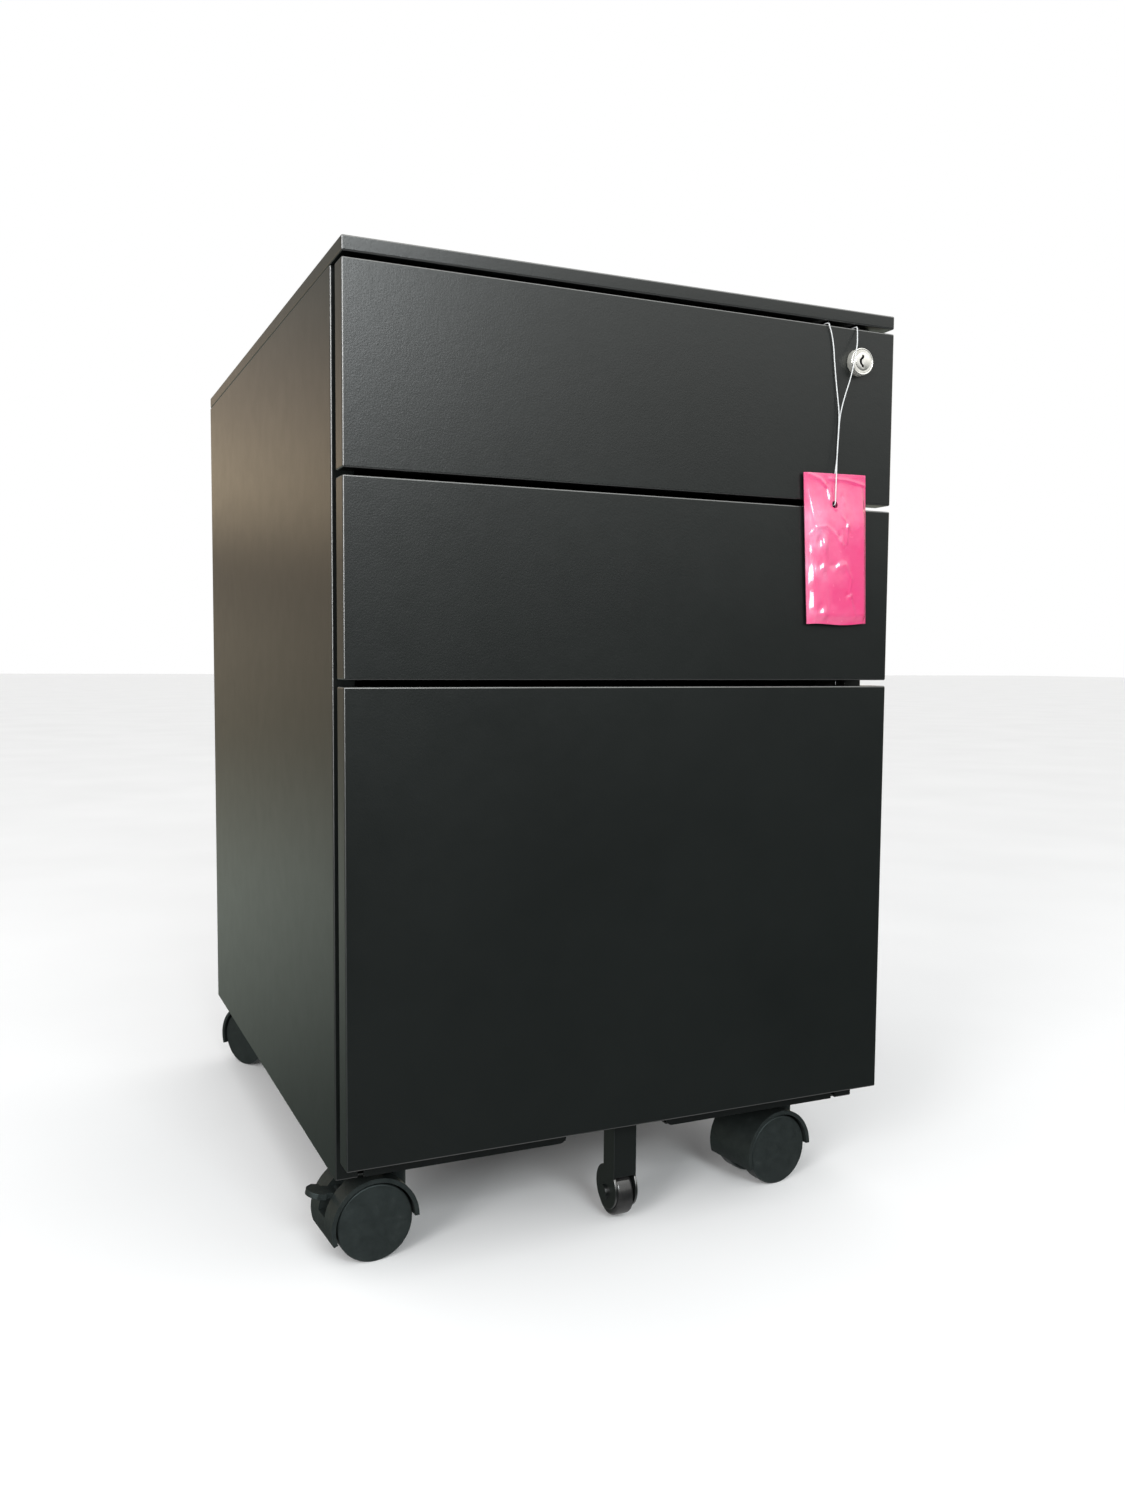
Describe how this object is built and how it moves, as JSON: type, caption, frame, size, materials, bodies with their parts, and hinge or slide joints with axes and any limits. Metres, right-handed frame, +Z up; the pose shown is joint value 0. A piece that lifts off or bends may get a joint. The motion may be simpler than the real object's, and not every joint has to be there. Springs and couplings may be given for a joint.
{
  "type": "mobile pedestal cabinet",
  "caption": "Rolling pedestal cabinet in black sheet steel: box drawers over a file drawer, cam lock, hooded castors, anti-tilt wheel, and a key pouch hung on a string.",
  "frame": {"origin": "on the floor, under the middle of the cabinet's width and depth", "axes": "+Z up, -Y out of the drawer fronts, +X to the right seen from the front"},
  "size_m": [0.4178, 0.5076, 0.62],
  "materials": {
    "powder_black": "satin powder coat with a fine orange-peel texture",
    "castor_plastic": "matt moulded nylon",
    "roller_plastic": "smooth semi-gloss roller",
    "tray_plastic": "fine-textured vacuum-formed plastic",
    "zinc_steel": "bright zinc plate",
    "lock_nickel": "polished nickel plate",
    "key_steel": "nickel-plated flat keys",
    "pouch_vinyl": "glossy wrinkled soft film",
    "string": "thin white twisted string"
  },
  "bodies": {
    "cabinet": {"top_panel": "powder_black", "left_side_panel": "powder_black", "right_side_panel": "powder_black", "back_panel": "powder_black", "bottom_panel": "powder_black", "base_front_rail": "powder_black", "upper_front_rail": "powder_black", "runner_posts": "zinc_steel", "drawer_1_cabinet_rails": "zinc_steel", "drawer_2_cabinet_rails": "zinc_steel", "drawer_3_cabinet_rails": "zinc_steel", "castor_sockets": "zinc_steel", "castor_stems": "zinc_steel"},
    "lock_bar": {"lock_bar": "zinc_steel"},
    "drawer_1": {"drawer_1_front": "powder_black", "drawer_1_inner_panel": "powder_black", "drawer_1_box": "powder_black", "drawer_1_box_rails": "zinc_steel", "pencil_tray": "tray_plastic", "lock_housing": "lock_nickel", "lock_nut": "lock_nickel", "string_knot": "string"},
    "drawer_1_middle": {"drawer_1_middle_rails": "zinc_steel"},
    "lock_cylinder": {"lock_cylinder": "lock_nickel", "lock_cam": "zinc_steel"},
    "key_pouch": {"key_pouch": "pouch_vinyl", "keys": "key_steel", "key_string": "string"},
    "drawer_2": {"drawer_2_front": "powder_black", "drawer_2_inner_panel": "powder_black", "drawer_2_box": "powder_black", "drawer_2_box_rails": "zinc_steel"},
    "drawer_2_middle": {"drawer_2_middle_rails": "zinc_steel"},
    "drawer_3": {"drawer_3_front": "powder_black", "drawer_3_inner_panel": "powder_black", "drawer_3_box": "powder_black", "drawer_3_box_rails": "zinc_steel", "file_rails": "zinc_steel", "anti_tilt_post": "powder_black", "anti_tilt_axle": "powder_black"},
    "drawer_3_middle": {"drawer_3_middle_rails": "zinc_steel"},
    "anti_tilt_wheel": {"anti_tilt_wheel": "roller_plastic"},
    "front_left_castor": {"front_left_castor_hood": "castor_plastic", "front_left_castor_axle": "zinc_steel"},
    "front_left_castor_wheel_a": {"front_left_castor_wheel_a": "castor_plastic"},
    "front_left_castor_wheel_b": {"front_left_castor_wheel_b": "castor_plastic"},
    "front_right_castor": {"front_right_castor_hood": "castor_plastic", "front_right_castor_axle": "zinc_steel"},
    "front_right_castor_wheel_a": {"front_right_castor_wheel_a": "castor_plastic"},
    "front_right_castor_wheel_b": {"front_right_castor_wheel_b": "castor_plastic"},
    "rear_left_castor": {"rear_left_castor_hood": "castor_plastic", "rear_left_castor_axle": "zinc_steel"},
    "rear_left_castor_wheel_a": {"rear_left_castor_wheel_a": "castor_plastic"},
    "rear_left_castor_wheel_b": {"rear_left_castor_wheel_b": "castor_plastic"},
    "rear_right_castor": {"rear_right_castor_hood": "castor_plastic", "rear_right_castor_axle": "zinc_steel"},
    "rear_right_castor_wheel_a": {"rear_right_castor_wheel_a": "castor_plastic"},
    "rear_right_castor_wheel_b": {"rear_right_castor_wheel_b": "castor_plastic"},
    "front_left_brake_lever": {"front_left_brake_lever": "castor_plastic"},
    "rear_right_brake_lever": {"rear_right_brake_lever": "castor_plastic"}
  },
  "joints": [
    {"name": "drawer_1_slide", "type": "slide", "parent": "cabinet", "child": "drawer_1", "axis": [0, -1, 0], "range_m": [0, 0.4]},
    {"name": "drawer_1_middle_slide", "type": "slide", "parent": "cabinet", "child": "drawer_1_middle", "axis": [0, -1, 0], "range_m": [0, 0.2]},
    {"name": "drawer_2_slide", "type": "slide", "parent": "cabinet", "child": "drawer_2", "axis": [0, -1, 0], "range_m": [0, 0.4], "deforming": ["key_string", "key_pouch", "keys"]},
    {"name": "drawer_2_middle_slide", "type": "slide", "parent": "cabinet", "child": "drawer_2_middle", "axis": [0, -1, 0], "range_m": [0, 0.2]},
    {"name": "drawer_3_slide", "type": "slide", "parent": "cabinet", "child": "drawer_3", "axis": [0, -1, 0], "range_m": [0, 0.4]},
    {"name": "drawer_3_middle_slide", "type": "slide", "parent": "cabinet", "child": "drawer_3_middle", "axis": [0, -1, 0], "range_m": [0, 0.2]},
    {"name": "lock_turn", "type": "hinge", "parent": "drawer_1", "child": "lock_cylinder", "pos_m": [0.164, -0.245, 0.585], "axis": [0, -1, 0], "range_deg": [0, 90]},
    {"name": "lock_bar_slide", "type": "slide", "parent": "cabinet", "child": "lock_bar", "axis": [0, 0, 1], "range_m": [0, 0.0099]},
    {"name": "anti_tilt_wheel_spin", "type": "hinge", "parent": "drawer_3", "child": "anti_tilt_wheel", "pos_m": [0, -0.215, 0.0185], "axis": [1, 0, 0], "continuous": true},
    {"name": "key_pouch_swing", "type": "hinge", "parent": "drawer_1", "child": "key_pouch", "pos_m": [0.149, -0.2462, 0.6095], "axis": [-1, 0, 0], "range_deg": [0, 35], "deforming": ["key_string"]},
    {"name": "front_left_castor_swivel", "type": "hinge", "parent": "cabinet", "child": "front_left_castor", "pos_m": [-0.15, -0.1915, 0.04], "axis": [0, 0, 1], "continuous": true},
    {"name": "front_left_castor_wheel_a_spin", "type": "hinge", "parent": "front_left_castor", "child": "front_left_castor_wheel_a", "pos_m": [-0.16995, -0.1929, 0.025], "axis": [0.0698, -0.9976, 0], "continuous": true},
    {"name": "front_left_castor_wheel_b_spin", "type": "hinge", "parent": "front_left_castor", "child": "front_left_castor_wheel_b", "pos_m": [-0.16995, -0.1929, 0.025], "axis": [0.0698, -0.9976, 0], "continuous": true},
    {"name": "front_right_castor_swivel", "type": "hinge", "parent": "cabinet", "child": "front_right_castor", "pos_m": [0.15, -0.1915, 0.04], "axis": [0, 0, 1], "continuous": true},
    {"name": "front_right_castor_wheel_a_spin", "type": "hinge", "parent": "front_right_castor", "child": "front_right_castor_wheel_a", "pos_m": [0.1302, -0.19428, 0.025], "axis": [0.1392, -0.9903, 0], "continuous": true},
    {"name": "front_right_castor_wheel_b_spin", "type": "hinge", "parent": "front_right_castor", "child": "front_right_castor_wheel_b", "pos_m": [0.1302, -0.19428, 0.025], "axis": [0.1392, -0.9903, 0], "continuous": true},
    {"name": "rear_left_castor_swivel", "type": "hinge", "parent": "cabinet", "child": "rear_left_castor", "pos_m": [-0.15, 0.201, 0.04], "axis": [0, 0, 1], "continuous": true},
    {"name": "rear_left_castor_wheel_a_spin", "type": "hinge", "parent": "rear_left_castor", "child": "rear_left_castor_wheel_a", "pos_m": [-0.16, 0.21832, 0.025], "axis": [-0.866, -0.5, 0], "continuous": true},
    {"name": "rear_left_castor_wheel_b_spin", "type": "hinge", "parent": "rear_left_castor", "child": "rear_left_castor_wheel_b", "pos_m": [-0.16, 0.21832, 0.025], "axis": [-0.866, -0.5, 0], "continuous": true},
    {"name": "rear_right_castor_swivel", "type": "hinge", "parent": "cabinet", "child": "rear_right_castor", "pos_m": [0.15, 0.201, 0.04], "axis": [0, 0, 1], "continuous": true},
    {"name": "rear_right_castor_wheel_a_spin", "type": "hinge", "parent": "rear_right_castor", "child": "rear_right_castor_wheel_a", "pos_m": [0.16992, 0.20274, 0.025], "axis": [-0.0872, 0.9962, 0], "continuous": true},
    {"name": "rear_right_castor_wheel_b_spin", "type": "hinge", "parent": "rear_right_castor", "child": "rear_right_castor_wheel_b", "pos_m": [0.16992, 0.20274, 0.025], "axis": [-0.0872, 0.9962, 0], "continuous": true},
    {"name": "front_left_brake_press", "type": "hinge", "parent": "front_left_castor", "child": "front_left_brake_lever", "pos_m": [-0.18721, -0.1941, 0.04], "axis": [0.0698, -0.9976, 0], "range_deg": [0, 15]},
    {"name": "rear_right_brake_press", "type": "hinge", "parent": "rear_right_castor", "child": "rear_right_brake_lever", "pos_m": [0.18716, 0.20425, 0.04], "axis": [-0.0872, 0.9962, 0], "range_deg": [0, 15]}
  ],
  "couplings": [
    {"joint": "drawer_1_middle_slide", "follows": "drawer_1_slide", "ratio": 0.5},
    {"joint": "drawer_2_middle_slide", "follows": "drawer_2_slide", "ratio": 0.5},
    {"joint": "drawer_3_middle_slide", "follows": "drawer_3_slide", "ratio": 0.5},
    {"joint": "lock_bar_slide", "follows": "lock_turn", "m_per_rad": 0.0063}
  ]
}
